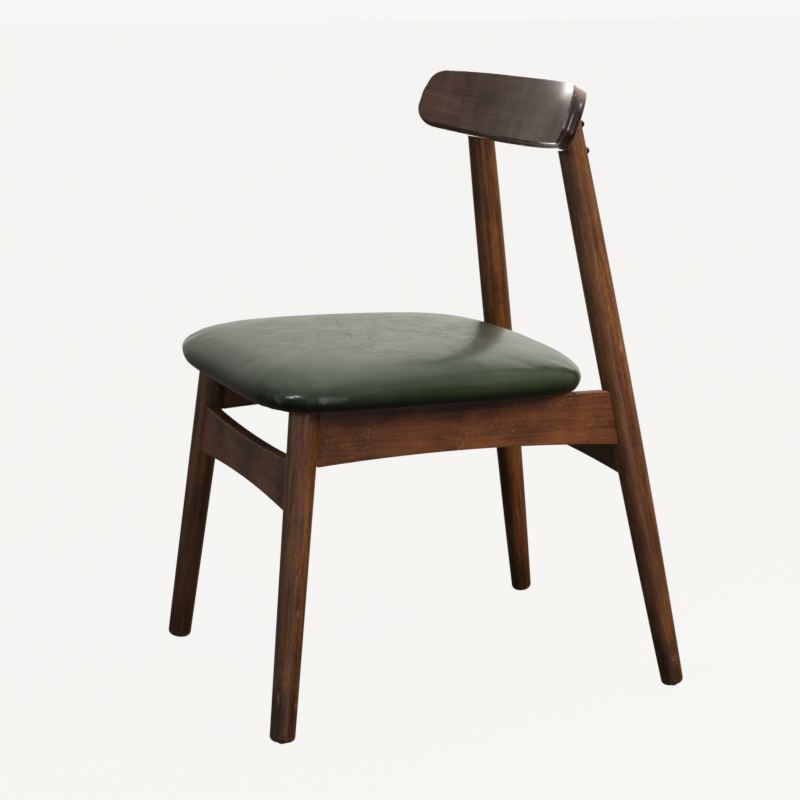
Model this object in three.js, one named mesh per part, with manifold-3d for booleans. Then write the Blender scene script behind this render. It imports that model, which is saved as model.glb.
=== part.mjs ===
// A dining chair: four turned and splayed legs, four shaped rails, an upholstered seat and a bent
// plywood back panel that is screwed to the oblique tops of the rear legs.
// Millimetres, +Z up. The origin is on the floor under the middle of the chair. The front faces -Y.
// Left and right are the sitter's own, so the sitter's left is +X.
import * as THREE from 'three';
import { mergeVertices } from 'three/addons/utils/BufferGeometryUtils.js';
import Module from 'manifold-3d';

const wasm = await Module();
wasm.setup();

// ---- Driving dimensions -------------------------------------------------------------------------

const GAP = 0.3; // clearance between pieces that touch

// Legs: where the axis meets the floor, and how far it leans in x and y for each millimetre of rise.
const FRONT_LEG = { foot: [223.4, -277.5], lean: [-0.1012, 0.121], top: 429 };
const REAR_LEG = { foot: [231.3, 279.2], lean: [-0.128, -0.1674], top: 780 };
const FRONT_LEG_RADII = [[0, 16.1], [225, 18], [460, 20]]; // [distance along the axis, radius]
const REAR_LEG_RADII = [[0, 14.6], [310, 19.5], [805, 17.4]];
const FOOT_ROUNDING = 6.5;
const POST_TOP_ROUNDING = 4;
const LEG_SIDES = 20;

// Foot glides: a level steel pad let into the end grain, held by its own nail.
const FOOT_HEIGHT = 2.2; // height of the leg's end on its axis
const GLIDE = { radius: 5, height: 3.5, easing: 0.8, nailRadius: 1.4, nailLength: 14 };

// Rails: every board is 20 mm thick and is scooped at the ends to fit the round legs.
const RAIL_THICKNESS = 20;
const RAIL_EASING = 1.2;
const SIDE_RAIL = { x: 183.8, z: 368.5, depth: 73, arch: 9.5, roll: 5.5, below: 1.2 };
const CROSS_RAIL = { depth: 68, archTop: 7, archBottom: 8 };
const FRONT_RAIL_Z = 314; // height of the middle of the cross rail at its ends
const REAR_RAIL_Z = 319;
const RAIL_STOP = 2; // a rail's uncut length stops this short of the axis of each leg
const DOWEL = { radius: 4, length: 36, fromAxis: 19, spacing: 30 };
const SIDE_DOWEL_Z = { front: 375, rear: 368 };

// Seat: everything above the rails sits on one plane that is lower at the back.
const SEAT_PLANE = { height: 409.1, slope: 0.0216 };
const SEAT = { halfWidth: 228, taper: -8, halfLength: 231, centreY: -57 };
const SEAT_SQUARENESS = { across: 4.5, along: 6.5 };
const SEAT_SIDES = 44;
const EDGE_HEIGHT = 22; // height of the widest line of the cushion
const EDGE_TUCK = 7; // how far the cushion's side turns in below that line
const CROWN_HEIGHT = 62;
const CORNER_DROP = 0.25;
const LEATHER = 1.2;
const LAP = 18; // leather turned under the seat base
const SEAT_BASE = { thickness: 12, inset: 9.5, easing: 1.5 };
const DOME = { reaches: [0.97, 0.88, 0.72, 0.5, 0.25], fullness: 3.4, shoulder: 2.1 };
const DUST_COVER = { thickness: 0.8, inset: 30 };

// Corner brackets that hold the seat base to the side rails.
const BRACKET = { width: 22, upright: 26, foot: 26, thickness: 2, holeAt: 0.6 };
const BRACKET_Y = [-170, 100]; // measured from the middle of the chair, along the seat plane
const SCREW = { headRadius: 3.8, headHeight: 2.2, shankRadius: 1.9, length: 12 };

// Back panel: a board bent to an arc and leaning back, lying on the oblique cut tops of the posts.
const PANEL = { y: 155.8, z: 753.5, halfLength: 241, thickness: 18.8, bend: 620, recline: 19.5 };
const PANEL_TOP = { up: 48.8, fall: 16, power: 2.4 }; // height in the middle, and its arched fall to the ends
const PANEL_BOTTOM = { up: -43.2, fall: 1.5, power: 2 };
const PANEL_TOP_CORNER = { across: 42, down: 33 };
const PANEL_BOTTOM_CORNER = { across: 42, down: 26 };
const PANEL_EDGE = 6.5; // rounding of the panel's edges
const PANEL_STATIONS = 30;
const PANEL_SPACE = { halfLength: 215, stations: 15, up: 120, forward: 90 }; // cut from the posts

// Screws through the back of each post into the panel. `z` is where the screw crosses the post's axis.
const BACK_SCREW = { headRadius: 5, headHeight: 6.2, shankRadius: 2.5, sunk: 1 };
const BACK_SCREWS = [{ name: 'upper', z: 755.5, length: 28 }, { name: 'lower', z: 721.5, length: 44 }];

// ---- Materials ----------------------------------------------------------------------------------

const WALNUT = new THREE.MeshStandardMaterial({ color: 0x4a2a1c, roughness: 0.38, metalness: 0 });
const BEECH = new THREE.MeshStandardMaterial({ color: 0xc9a574, roughness: 0.7, metalness: 0 });
const LEATHER_GREEN = new THREE.MeshStandardMaterial({ color: 0x1f3a2a, roughness: 0.3, metalness: 0 });
const FOAM = new THREE.MeshStandardMaterial({ color: 0xe6d9a8, roughness: 0.95, metalness: 0 });
const BIRCH_PLY = new THREE.MeshStandardMaterial({ color: 0xc8a878, roughness: 0.75, metalness: 0 });
const BLACK_CLOTH = new THREE.MeshStandardMaterial({ color: 0x17171a, roughness: 0.95, metalness: 0 });
const ZINC_STEEL = new THREE.MeshStandardMaterial({ color: 0xb4b6b8, roughness: 0.4, metalness: 1 });
const BLACK_STEEL = new THREE.MeshStandardMaterial({ color: 0x1b1715, roughness: 0.45, metalness: 1 });

// ---- Solids -------------------------------------------------------------------------------------

// The closed body of one placed mesh, in the coordinates of another object.
function solidOf(mesh, frame) {
  mesh.updateWorldMatrix(true, false);
  frame.updateWorldMatrix(true, false);
  const geometry = mesh.geometry.clone();
  geometry.deleteAttribute('normal');
  geometry.deleteAttribute('uv');
  geometry.applyMatrix4(frame.matrixWorld.clone().invert().multiply(mesh.matrixWorld));
  const merged = mergeVertices(geometry, 1e-3);
  return new wasm.Manifold(new wasm.Mesh({
    numProp: 3,
    vertProperties: new Float32Array(merged.attributes.position.array),
    triVerts: new Uint32Array(merged.index.array),
  }));
}

function geometryOf(solid) {
  const { vertProperties, triVerts } = solid.getMesh();
  const geometry = new THREE.BufferGeometry();
  geometry.setAttribute('position', new THREE.BufferAttribute(new Float32Array(vertProperties), 3));
  geometry.setIndex(new THREE.BufferAttribute(new Uint32Array(triVerts), 1));
  geometry.computeVertexNormals();
  return geometry;
}

// Cuts the space of each tool out of a piece that is already in its place.
function cut(piece, ...tools) {
  let solid = solidOf(piece, piece);
  for (const tool of tools) solid = solid.subtract(solidOf(tool, piece));
  piece.geometry = geometryOf(solid);
}

function named(name, geometry, material) {
  const mesh = new THREE.Mesh(geometry, material);
  mesh.name = name;
  return mesh;
}

// A cutting tool: it is placed like a piece but never joins the chair.
function toolFrom(geometry) {
  return new THREE.Mesh(geometry);
}

// Turns a profile of [radius, height] points about the Z axis.
function turned(profile, sides) {
  const points = profile.map(([radius, height]) => new THREE.Vector2(radius, height));
  return new THREE.LatheGeometry(points, sides).rotateX(Math.PI / 2);
}

// Points on a quarter circle, between two angles in degrees.
function arcPoints(centre, radius, from, to, steps) {
  return Array.from({ length: steps + 1 }, (_, i) => {
    const angle = THREE.MathUtils.degToRad(from + ((to - from) * i) / steps);
    return [centre[0] + radius * Math.cos(angle), centre[1] + radius * Math.sin(angle)];
  });
}

// Places a mesh with its own Z axis along a direction.
function aim(mesh, position, direction) {
  mesh.position.copy(position);
  mesh.quaternion.setFromUnitVectors(new THREE.Vector3(0, 0, 1), direction.clone().normalize());
  return mesh;
}

// Closes a stack of rings, each an equal number of points, into one body with an apex at each end.
function loft(firstApex, rings, lastApex) {
  const count = rings[0].length;
  const positions = [firstApex, ...rings.flat(), lastApex].flatMap((p) => [p.x, p.y, p.z]);
  const last = rings.length * count + 1;
  const index = [];
  for (let i = 0; i < count; i += 1) {
    const next = (i + 1) % count;
    index.push(0, 1 + next, 1 + i);
    index.push(last, last - count + i, last - count + next);
    for (let ring = 0; ring < rings.length - 1; ring += 1) {
      const a = 1 + ring * count;
      const b = a + count;
      index.push(a + i, a + next, b + next, a + i, b + next, b + i);
    }
  }
  const geometry = new THREE.BufferGeometry();
  geometry.setAttribute('position', new THREE.Float32BufferAttribute(positions, 3));
  geometry.setIndex(index);
  geometry.computeVertexNormals();
  return geometry;
}

// ---- Legs ---------------------------------------------------------------------------------------

// The axis of a leg on one side: the point at height z, and the upward direction.
function axisPoint(leg, side, z) {
  return new THREE.Vector3(side * (leg.foot[0] + leg.lean[0] * z), leg.foot[1] + leg.lean[1] * z, z);
}

function axisDirection(leg, side) {
  return new THREE.Vector3(side * leg.lean[0], leg.lean[1], 1).normalize();
}

// How far along its axis a leg is when it has risen to height z.
function alongAxis(leg, z) {
  return z / axisDirection(leg, 1).z;
}

function legProfile(leg, radii, grow, topRounding) {
  const curve = new THREE.SplineCurve(radii.map(([along, radius]) => new THREE.Vector2(along, radius)));
  const start = alongAxis(leg, FOOT_HEIGHT) - grow;
  const end = alongAxis(leg, leg.top) + grow;
  const radiusAt = (along) => {
    const span = (along - radii[0][0]) / (radii.at(-1)[0] - radii[0][0]);
    return curve.getPoint(THREE.MathUtils.clamp(span, 0, 1)).y + grow;
  };
  const footRadius = radiusAt(start) - FOOT_ROUNDING;
  const topRadius = radiusAt(end) - topRounding;
  const steps = 5;
  const shaft = Array.from({ length: steps - 1 }, (_, i) => {
    const along = start + ((end - start) * (i + 1)) / steps;
    return [radiusAt(along), along];
  });
  return [
    [0, start],
    ...arcPoints([footRadius, start + FOOT_ROUNDING], FOOT_ROUNDING, -90, 0, 3),
    ...shaft,
    ...arcPoints([topRadius, end - topRounding], topRounding, 0, 90, 3),
    [0, end],
  ];
}

function makeLeg(name, leg, radii, side, topRounding) {
  const body = turned(legProfile(leg, radii, 0, topRounding), LEG_SIDES);
  return aim(named(name, body, WALNUT), axisPoint(leg, side, 0), axisDirection(leg, side));
}

// The space that a rail end leaves free round a leg.
function legSpace(leg, radii, side) {
  const body = toolFrom(turned(legProfile(leg, radii, GAP, POST_TOP_ROUNDING), LEG_SIDES));
  return aim(body, axisPoint(leg, side, 0), axisDirection(leg, side));
}

function glideGeometry(grow) {
  const { radius, height, easing, nailRadius, nailLength } = GLIDE;
  return turned([
    [0, 0],
    [radius - easing, 0],
    [radius + grow, easing],
    [radius + grow, height + grow],
    [nailRadius + grow, height + grow],
    [nailRadius + grow, height + nailLength + grow],
    [0, height + nailLength + grow],
  ], 16);
}

function placeGlide(mesh, leg, side) {
  mesh.position.copy(axisPoint(leg, side, FOOT_HEIGHT)).setZ(0);
  return mesh;
}

// ---- Rails --------------------------------------------------------------------------------------

// A board outline, length along X and depth along Y, with an arched bottom and a hollow top.
function railShape(length, depth, hollowTop, archBottom) {
  const half = length / 2;
  const low = -depth / 2;
  const high = depth / 2;
  const shape = new THREE.Shape();
  shape.moveTo(-half, low);
  shape.quadraticCurveTo(0, low + 2 * archBottom, half, low);
  shape.lineTo(half, high);
  if (hollowTop > 0) shape.quadraticCurveTo(0, high - 2 * hollowTop, -half, high);
  else shape.lineTo(-half, high);
  shape.closePath();
  return shape;
}

function railGeometry(length, depth, hollowTop, archBottom) {
  const shape = railShape(length - 2 * RAIL_EASING, depth - 2 * RAIL_EASING, hollowTop, archBottom);
  return new THREE.ExtrudeGeometry(shape, {
    depth: RAIL_THICKNESS - 2 * RAIL_EASING,
    bevelThickness: RAIL_EASING,
    bevelSize: RAIL_EASING,
    bevelSegments: 1,
    curveSegments: 10,
  }).translate(0, 0, RAIL_EASING - RAIL_THICKNESS / 2);
}

const SEAT_PITCH = Math.atan(SEAT_PLANE.slope);

// A side rail runs front to back, rolled inward at the top and pitched like the seat.
function makeSideRail(name, side) {
  const front = axisPoint(FRONT_LEG, side, SIDE_RAIL.z).y;
  const rear = axisPoint(REAR_LEG, side, SIDE_RAIL.z).y;
  const geometry = railGeometry(rear - front - RAIL_STOP, SIDE_RAIL.depth, 0, SIDE_RAIL.arch);
  geometry.rotateX(Math.PI / 2).rotateZ(Math.PI / 2);
  const rail = named(name, geometry, WALNUT);
  const middle = (front + rear) / 2;
  const drop = SIDE_RAIL.depth / 2 + SIDE_RAIL.below;
  rail.position.set(side * SIDE_RAIL.x, middle, SEAT_PLANE.height - SEAT_PLANE.slope * middle - drop);
  rail.rotation.set(-SEAT_PITCH, -side * THREE.MathUtils.degToRad(SIDE_RAIL.roll), 0);
  return rail;
}

// A cross rail lies in the plane of its two legs.
function makeCrossRail(name, leg, z) {
  const reach = 2 * (axisPoint(leg, 1, z).x - RAIL_STOP);
  const { depth, archTop, archBottom } = CROSS_RAIL;
  const rail = named(name, railGeometry(reach, depth, archTop, archBottom), WALNUT);
  rail.position.set(0, axisPoint(leg, 1, z).y, z);
  rail.rotation.x = Math.PI / 2 - Math.atan(leg.lean[1]);
  return rail;
}

// ---- Dowels -------------------------------------------------------------------------------------

function dowelGeometry(grow) {
  const radius = DOWEL.radius + grow;
  const length = DOWEL.length + 2 * grow;
  return new THREE.CylinderGeometry(radius, radius, length, 10).rotateX(Math.PI / 2);
}

// Two dowels per rail end, one above the other. Each crosses the joint between the leg and the rail.
function dowelPlaces(leg, side, towardRail, middleZ) {
  return [-1, 1].map((step) => {
    const z = middleZ + (step * DOWEL.spacing) / 2;
    const centre = axisPoint(leg, side, z).addScaledVector(towardRail, DOWEL.fromAxis);
    return { centre, direction: towardRail };
  });
}

// ---- Seat ---------------------------------------------------------------------------------------

// One coordinate of a superellipse, from the cosine or sine of the angle.
function squared(value, squareness) {
  return Math.sign(value) * Math.abs(value) ** (2 / squareness);
}

// The seat's outline: a rounded, bowed rectangle, wider at the front.
function seatOutline() {
  return Array.from({ length: SEAT_SIDES }, (_, i) => {
    const angle = (2 * Math.PI * i) / SEAT_SIDES;
    const across = squared(Math.cos(angle), SEAT_SQUARENESS.across);
    const along = squared(Math.sin(angle), SEAT_SQUARENESS.along);
    return new THREE.Vector2(
      across * (SEAT.halfWidth + SEAT.taper * along),
      along * SEAT.halfLength,
    );
  });
}

const OUTLINE = seatOutline();

// One ring of the seat: the outline moved inward, at a height above the seat plane.
function seatRing(inset, height, drop = 0) {
  const scale = 1 - inset / SEAT.halfWidth;
  return OUTLINE.map((point) => {
    const corner = ((point.x * point.y) / (SEAT.halfWidth * SEAT.halfLength)) ** 2;
    const z = height * (1 - drop * corner * scale ** 2);
    return new THREE.Vector3(point.x * scale, SEAT.centreY + point.y * scale, z);
  });
}

const seatApex = (height) => new THREE.Vector3(0, SEAT.centreY, height);

// The cushion's rings from the turned-under edge up to the crown, all moved in by `shrink`.
function cushionRings(shrink) {
  const under = [90, 60, 30, 0].map((degrees) => {
    const angle = THREE.MathUtils.degToRad(degrees);
    const height = shrink + (EDGE_HEIGHT - shrink) * (1 - Math.sin(angle));
    return seatRing(shrink + EDGE_TUCK * (1 - Math.cos(angle)), height, CORNER_DROP);
  });
  const dome = DOME.reaches.map((reach) => {
    const rise = (1 - reach ** DOME.fullness) ** (1 / DOME.shoulder);
    const inset = shrink + (SEAT.halfWidth - shrink) * (1 - reach);
    return seatRing(inset, EDGE_HEIGHT + (CROWN_HEIGHT - shrink - EDGE_HEIGHT) * rise, CORNER_DROP);
  });
  return [...under, ...dome];
}

// The leather: a thin shell over the foam, turned under the edge of the seat base.
function coverGeometry() {
  const inner = cushionRings(LEATHER).reverse();
  const lap = [seatRing(EDGE_TUCK + LAP, LEATHER), seatRing(EDGE_TUCK + LAP, 0)];
  const rings = [...inner, ...lap, ...cushionRings(0)];
  return loft(seatApex(CROWN_HEIGHT - LEATHER), rings, seatApex(CROWN_HEIGHT));
}

// The foam pad fills the leather above the seat base.
function foamGeometry() {
  const bottom = LEATHER + SEAT_BASE.thickness + 2 * GAP;
  const sideAndDome = cushionRings(LEATHER + GAP).slice(3);
  const rings = [seatRing(LEATHER + EDGE_TUCK / 2, bottom), ...sideAndDome];
  return loft(seatApex(bottom), rings, seatApex(CROWN_HEIGHT - LEATHER - GAP));
}

function baseGeometry() {
  const { thickness, inset, easing } = SEAT_BASE;
  const bottom = LEATHER + GAP;
  const rings = [
    seatRing(inset + easing, bottom),
    seatRing(inset, bottom + easing),
    seatRing(inset, bottom + thickness),
  ];
  return loft(seatApex(bottom), rings, seatApex(bottom + thickness));
}

function dustCoverGeometry() {
  const rings = [0, DUST_COVER.thickness].map((height) => seatRing(DUST_COVER.inset, height));
  return loft(seatApex(0), rings, seatApex(DUST_COVER.thickness));
}

// ---- Brackets and screws ------------------------------------------------------------------------

function screwGeometry({ headRadius, headHeight, shankRadius, length }, grow) {
  const dome = arcPoints([0, 0], 1, 0, 90, 3).map(([across, up]) => (
    [(headRadius + grow) * across, (headHeight + grow) * up]));
  return turned([
    [0, -length - grow],
    [(shankRadius + grow) * 0.4, -length - grow],
    [shankRadius + grow, -length + 3],
    [shankRadius + grow, -grow],
    [headRadius + grow, -grow],
    ...dome,
  ], 12);
}

// An angle bracket: one flange on the rail's inner face, one under the seat base.
function bracketGeometry(side) {
  const { width, upright, foot, thickness } = BRACKET;
  const roll = THREE.MathUtils.degToRad(SIDE_RAIL.roll);
  const down = new THREE.Vector2(Math.sin(roll), -Math.cos(roll)).multiplyScalar(upright);
  const shape = new THREE.Shape([
    new THREE.Vector2(0, 0),
    new THREE.Vector2(-foot, 0),
    new THREE.Vector2(-foot, -thickness),
    new THREE.Vector2(-thickness, -thickness),
    new THREE.Vector2(-thickness + down.x, down.y),
    new THREE.Vector2(down.x, down.y),
  ].map((point) => new THREE.Vector2(side * point.x, point.y)));
  return new THREE.ExtrudeGeometry(shape, { depth: width, bevelEnabled: false })
    .rotateX(Math.PI / 2)
    .translate(0, width / 2, 0);
}

// ---- Back panel ---------------------------------------------------------------------------------

// A point of the bent board: `along` the arc, `up` the board, `back` from its middle surface.
function bent(along, up, back) {
  const angle = along / PANEL.bend;
  const radius = PANEL.bend + back;
  return new THREE.Vector3(radius * Math.sin(angle), radius * Math.cos(angle) - PANEL.bend, up);
}

// The height of an arched edge at one distance from the middle, before its corners are rounded.
function archedEdge(along, { up, fall, power }) {
  return up - fall * Math.abs(along / PANEL.halfLength) ** power;
}

// How much an elliptical corner takes off the board's height at one distance from the middle.
function cornerLoss(along, corner) {
  const over = Math.max(0, Math.abs(along) - (PANEL.halfLength - corner.across)) / corner.across;
  return corner.down * (1 - Math.sqrt(Math.max(0, 1 - over ** 2)));
}

// The board's section at one distance from the middle, with rounded edges that run out at the ends.
function panelSection(along) {
  const top = archedEdge(along, PANEL_TOP) - cornerLoss(along, PANEL_TOP_CORNER);
  const bottom = archedEdge(along, PANEL_BOTTOM) + cornerLoss(along, PANEL_BOTTOM_CORNER);
  const past = Math.max(0, Math.abs(along) - (PANEL.halfLength - PANEL_EDGE)) / PANEL_EDGE;
  const half = PANEL.thickness / 2 - PANEL_EDGE * (1 - Math.sqrt(Math.max(0, 1 - past ** 2)));
  const round = Math.min(PANEL_EDGE, half - 0.5);
  const corners = [
    [[half - round, top - round], 0],
    [[round - half, top - round], 90],
    [[round - half, bottom + round], 180],
    [[half - round, bottom + round], 270],
  ];
  return corners
    .flatMap(([centre, from]) => arcPoints(centre, round, from, from + 90, 3))
    .map(([back, up]) => bent(along, up, back));
}

function panelGeometry() {
  const sections = Array.from({ length: PANEL_STATIONS - 1 }, (_, i) => {
    const turn = ((i + 1) / PANEL_STATIONS - 0.5) * Math.PI;
    return panelSection(PANEL.halfLength * Math.sin(turn));
  });
  const highest = archedEdge(PANEL.halfLength, PANEL_TOP) - PANEL_TOP_CORNER.down;
  const lowest = archedEdge(PANEL.halfLength, PANEL_BOTTOM) + PANEL_BOTTOM_CORNER.down;
  const middle = (highest + lowest) / 2;
  return loft(bent(-PANEL.halfLength, middle, 0), sections, bent(PANEL.halfLength, middle, 0));
}

// Everything in front of the panel's back face, from just under the panel to above the posts.
function panelSpaceGeometry() {
  const { halfLength, stations, up: high, forward } = PANEL_SPACE;
  const back = PANEL.thickness / 2 + GAP;
  const sections = Array.from({ length: stations }, (_, i) => {
    const along = halfLength * ((2 * (i + 0.5)) / stations - 1);
    const low = archedEdge(along, PANEL_BOTTOM) - GAP;
    const corners = [[back, low], [back, high], [-forward, high], [-forward, low]];
    return corners.map(([depth, up]) => bent(along, up, depth));
  });
  return loft(bent(-halfLength, 0, 0), sections, bent(halfLength, 0, 0));
}

function placePanel(mesh) {
  mesh.position.set(0, PANEL.y, PANEL.z);
  mesh.rotation.x = -THREE.MathUtils.degToRad(PANEL.recline);
  return mesh;
}

// A back screw is square to the panel, with its head on the back of the post.
function placeBackScrew(mesh, side, z) {
  const crossing = axisPoint(REAR_LEG, side, z);
  const angle = crossing.x / PANEL.bend;
  const headward = new THREE.Vector3(Math.sin(angle), Math.cos(angle), 0)
    .applyAxisAngle(new THREE.Vector3(1, 0, 0), -THREE.MathUtils.degToRad(PANEL.recline));
  const slant = headward.dot(axisDirection(REAR_LEG, side));
  const reach = REAR_LEG_RADII.at(-1)[1] / Math.sqrt(1 - slant ** 2) - BACK_SCREW.sunk;
  return aim(mesh, crossing.addScaledVector(headward, reach), headward);
}

// ---- The chair ----------------------------------------------------------------------------------

const chair = new THREE.Group();
const seat = new THREE.Group();
seat.position.z = SEAT_PLANE.height;
seat.rotation.x = -SEAT_PITCH;
chair.add(seat);
chair.updateMatrixWorld(true);

const SIDES = [{ name: 'left', side: 1 }, { name: 'right', side: -1 }];
const panel = placePanel(named('back_panel', panelGeometry(), WALNUT));
const frontRail = makeCrossRail('front_rail', FRONT_LEG, FRONT_RAIL_Z);
const rearRail = makeCrossRail('rear_rail', REAR_LEG, REAR_RAIL_Z);
const base = named('seat_base', baseGeometry(), BIRCH_PLY);
const dustCover = named('dust_cover', dustCoverGeometry(), BLACK_CLOTH);
seat.add(base, dustCover);
seat.add(named('seat_foam', foamGeometry(), FOAM));
seat.add(named('seat_cover', coverGeometry(), LEATHER_GREEN));
chair.add(panel, frontRail, rearRail);

// The space above the seat plane, which trims the tops of the front legs.
const SPACE_ABOVE = 80;
const aboveSeatPlane = toolFrom(new THREE.BoxGeometry(700, 700, SPACE_ABOVE));
aboveSeatPlane.geometry.translate(0, 0, SPACE_ABOVE / 2 - GAP);
aboveSeatPlane.applyMatrix4(seat.matrixWorld);

// Pegs a rail end to a leg with two dowels and cuts their holes.
function pegJoint(rail, leg, legSize, side, towardRail, middleZ, label) {
  dowelPlaces(legSize, side, towardRail, middleZ).forEach(({ centre, direction }, i) => {
    const dowel = aim(named(`dowel_${label}_${i + 1}`, dowelGeometry(0), BEECH), centre, direction);
    const hole = aim(toolFrom(dowelGeometry(GAP)), centre, direction);
    chair.add(dowel);
    cut(rail, hole);
    cut(leg, hole);
  });
}

// An angle bracket under the seat with a screw into the rail and one into the seat base.
function addBracket(rail, side, y, label) {
  const roll = THREE.MathUtils.degToRad(SIDE_RAIL.roll);
  const halfDepth = SIDE_RAIL.depth / 2 + SIDE_RAIL.below;
  const innerFace = SIDE_RAIL.x - halfDepth * Math.sin(roll) - RAIL_THICKNESS / 2 / Math.cos(roll);
  const corner = new THREE.Vector3(side * (innerFace - GAP), y, -GAP);
  const bracket = named(`bracket_${label}`, bracketGeometry(side), ZINC_STEEL);
  bracket.position.copy(corner);

  const flange = new THREE.Vector3(side * Math.sin(roll), 0, -Math.cos(roll));
  const inboard = new THREE.Vector3(-side * Math.cos(roll), 0, -Math.sin(roll));
  const clear = BRACKET.thickness + GAP;
  const railHead = corner.clone()
    .addScaledVector(flange, BRACKET.upright * BRACKET.holeAt)
    .addScaledVector(inboard, clear);
  const baseHead = corner.clone()
    .add(new THREE.Vector3(-side * BRACKET.foot * BRACKET.holeAt, 0, -clear));
  const places = [
    { name: 'rail', head: railHead, direction: inboard, into: rail },
    { name: 'base', head: baseHead, direction: new THREE.Vector3(0, 0, -1), into: base },
  ];
  seat.add(bracket);
  for (const { name, head, direction, into } of places) {
    const screw = named(`screw_${name}_${label}`, screwGeometry(SCREW, 0), ZINC_STEEL);
    const hole = aim(toolFrom(screwGeometry(SCREW, GAP)), head, direction);
    hole.applyMatrix4(seat.matrixWorld);
    seat.add(aim(screw, head, direction));
    cut(bracket, hole);
    cut(into, hole);
    if (into === base) cut(dustCover, hole);
  }
}

for (const { name, side } of SIDES) {
  const frontLeg = makeLeg(`front_leg_${name}`, FRONT_LEG, FRONT_LEG_RADII, side, 1);
  const rearLeg = makeLeg(`rear_leg_${name}`, REAR_LEG, REAR_LEG_RADII, side, POST_TOP_ROUNDING);
  const sideRail = makeSideRail(`side_rail_${name}`, side);
  chair.add(frontLeg, rearLeg, sideRail);

  const frontSpace = legSpace(FRONT_LEG, FRONT_LEG_RADII, side);
  const rearSpace = legSpace(REAR_LEG, REAR_LEG_RADII, side);
  cut(frontLeg, aboveSeatPlane);
  cut(rearLeg, placePanel(toolFrom(panelSpaceGeometry())));
  cut(sideRail, frontSpace, rearSpace);
  cut(frontRail, frontSpace);
  cut(rearRail, rearSpace);

  const backward = new THREE.Vector3(0, 1, -SEAT_PLANE.slope).normalize();
  const forward = backward.clone().negate();
  const inward = new THREE.Vector3(-side, 0, 0);
  pegJoint(sideRail, frontLeg, FRONT_LEG, side, backward, SIDE_DOWEL_Z.front, `side_front_${name}`);
  pegJoint(sideRail, rearLeg, REAR_LEG, side, forward, SIDE_DOWEL_Z.rear, `side_rear_${name}`);
  pegJoint(frontRail, frontLeg, FRONT_LEG, side, inward, FRONT_RAIL_Z, `front_${name}`);
  pegJoint(rearRail, rearLeg, REAR_LEG, side, inward, REAR_RAIL_Z, `rear_${name}`);

  for (const { name: level, z, length } of BACK_SCREWS) {
    const size = { ...BACK_SCREW, length };
    const screw = named(`back_screw_${level}_${name}`, screwGeometry(size, 0), BLACK_STEEL);
    const hole = placeBackScrew(toolFrom(screwGeometry(size, GAP)), side, z);
    chair.add(placeBackScrew(screw, side, z));
    cut(rearLeg, hole);
    cut(panel, hole);
  }

  addBracket(sideRail, side, BRACKET_Y[0], `front_${name}`);
  addBracket(sideRail, side, BRACKET_Y[1], `rear_${name}`);

  for (const [label, leg, body] of [['front', FRONT_LEG, frontLeg], ['rear', REAR_LEG, rearLeg]]) {
    chair.add(placeGlide(named(`glide_${label}_${name}`, glideGeometry(0), ZINC_STEEL), leg, side));
    cut(body, placeGlide(toolFrom(glideGeometry(GAP)), leg, side));
  }
}

export default chair;
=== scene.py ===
"""Looks of a dining chair: turned walnut legs, shaped rails, a green leather seat and a bent back panel.

Shapes are worked out in millimetres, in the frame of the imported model, and turned into metres when a mesh
is made. The sitter's left is +X and the chair faces -Y.
"""

import math

import bmesh
import bpy
import numpy as np
from mathutils import Matrix, Vector, noise


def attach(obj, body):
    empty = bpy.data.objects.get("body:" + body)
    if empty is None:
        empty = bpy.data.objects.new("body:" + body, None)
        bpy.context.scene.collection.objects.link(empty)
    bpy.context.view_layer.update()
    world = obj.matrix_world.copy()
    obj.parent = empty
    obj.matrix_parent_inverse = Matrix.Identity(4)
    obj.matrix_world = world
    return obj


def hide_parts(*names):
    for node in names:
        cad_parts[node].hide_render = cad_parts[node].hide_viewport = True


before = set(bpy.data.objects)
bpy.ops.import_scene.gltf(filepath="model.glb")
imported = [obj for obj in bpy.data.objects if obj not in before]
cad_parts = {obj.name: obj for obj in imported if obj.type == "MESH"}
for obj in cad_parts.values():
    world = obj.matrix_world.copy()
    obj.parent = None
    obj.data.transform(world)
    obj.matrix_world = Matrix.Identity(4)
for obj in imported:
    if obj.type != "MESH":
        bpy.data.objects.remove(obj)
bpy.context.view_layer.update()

# ---- Driving dimensions, in millimetres ----

MM = 0.001

# Legs: where the axis meets the floor on the left side, and how far it leans for each millimetre of rise.
FRONT_LEG = {
    "foot": (223.4, -277.5),
    "lean": (-0.1012, 0.121),
    "top": 429,
    "radii": ((0, 16.1), (225, 18), (460, 20)),
    "top_rounding": 1,
}
REAR_LEG = {
    "foot": (231.3, 279.2),
    "lean": (-0.128, -0.1674),
    "top": 780,
    "radii": ((0, 14.6), (310, 19.5), (805, 17.4)),
    "top_rounding": 4,
}
FOOT_ROUNDING = 6.5
FOOT_HEIGHT = 2.2
LEG_SIDES = 96
LEG_STEP = 5  # distance between the rings of a leg
ARRIS = 0.8  # rounding where a leg is cut to meet its neighbour

# Painted shade on the legs: darker towards the floor, and near the top of the rear legs in the back panel's
# shadow. For each band: the heights where it starts and is full, and its strength.
LEG_PAINTED_SHADE = ((80, 45, 0.55), (330, 60, 0.35), (560, 740, 0.45))

# Spots where the stain is knocked off: height, degrees round the leg from its left side, size and strength.
KNOCKS = {
    "rear_leg_left": ((457, 20, 2.6, 1.0), (38, 5, 4.5, 0.5)),
    "front_leg_left": ((164, 12, 2.0, 0.8),),
}

GLIDE_RADIUS = 5
GLIDE_HEIGHT = 3.5
GLIDE_EASING = 0.8
GLIDE_NAIL = (1.4, 12)  # radius and length

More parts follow.
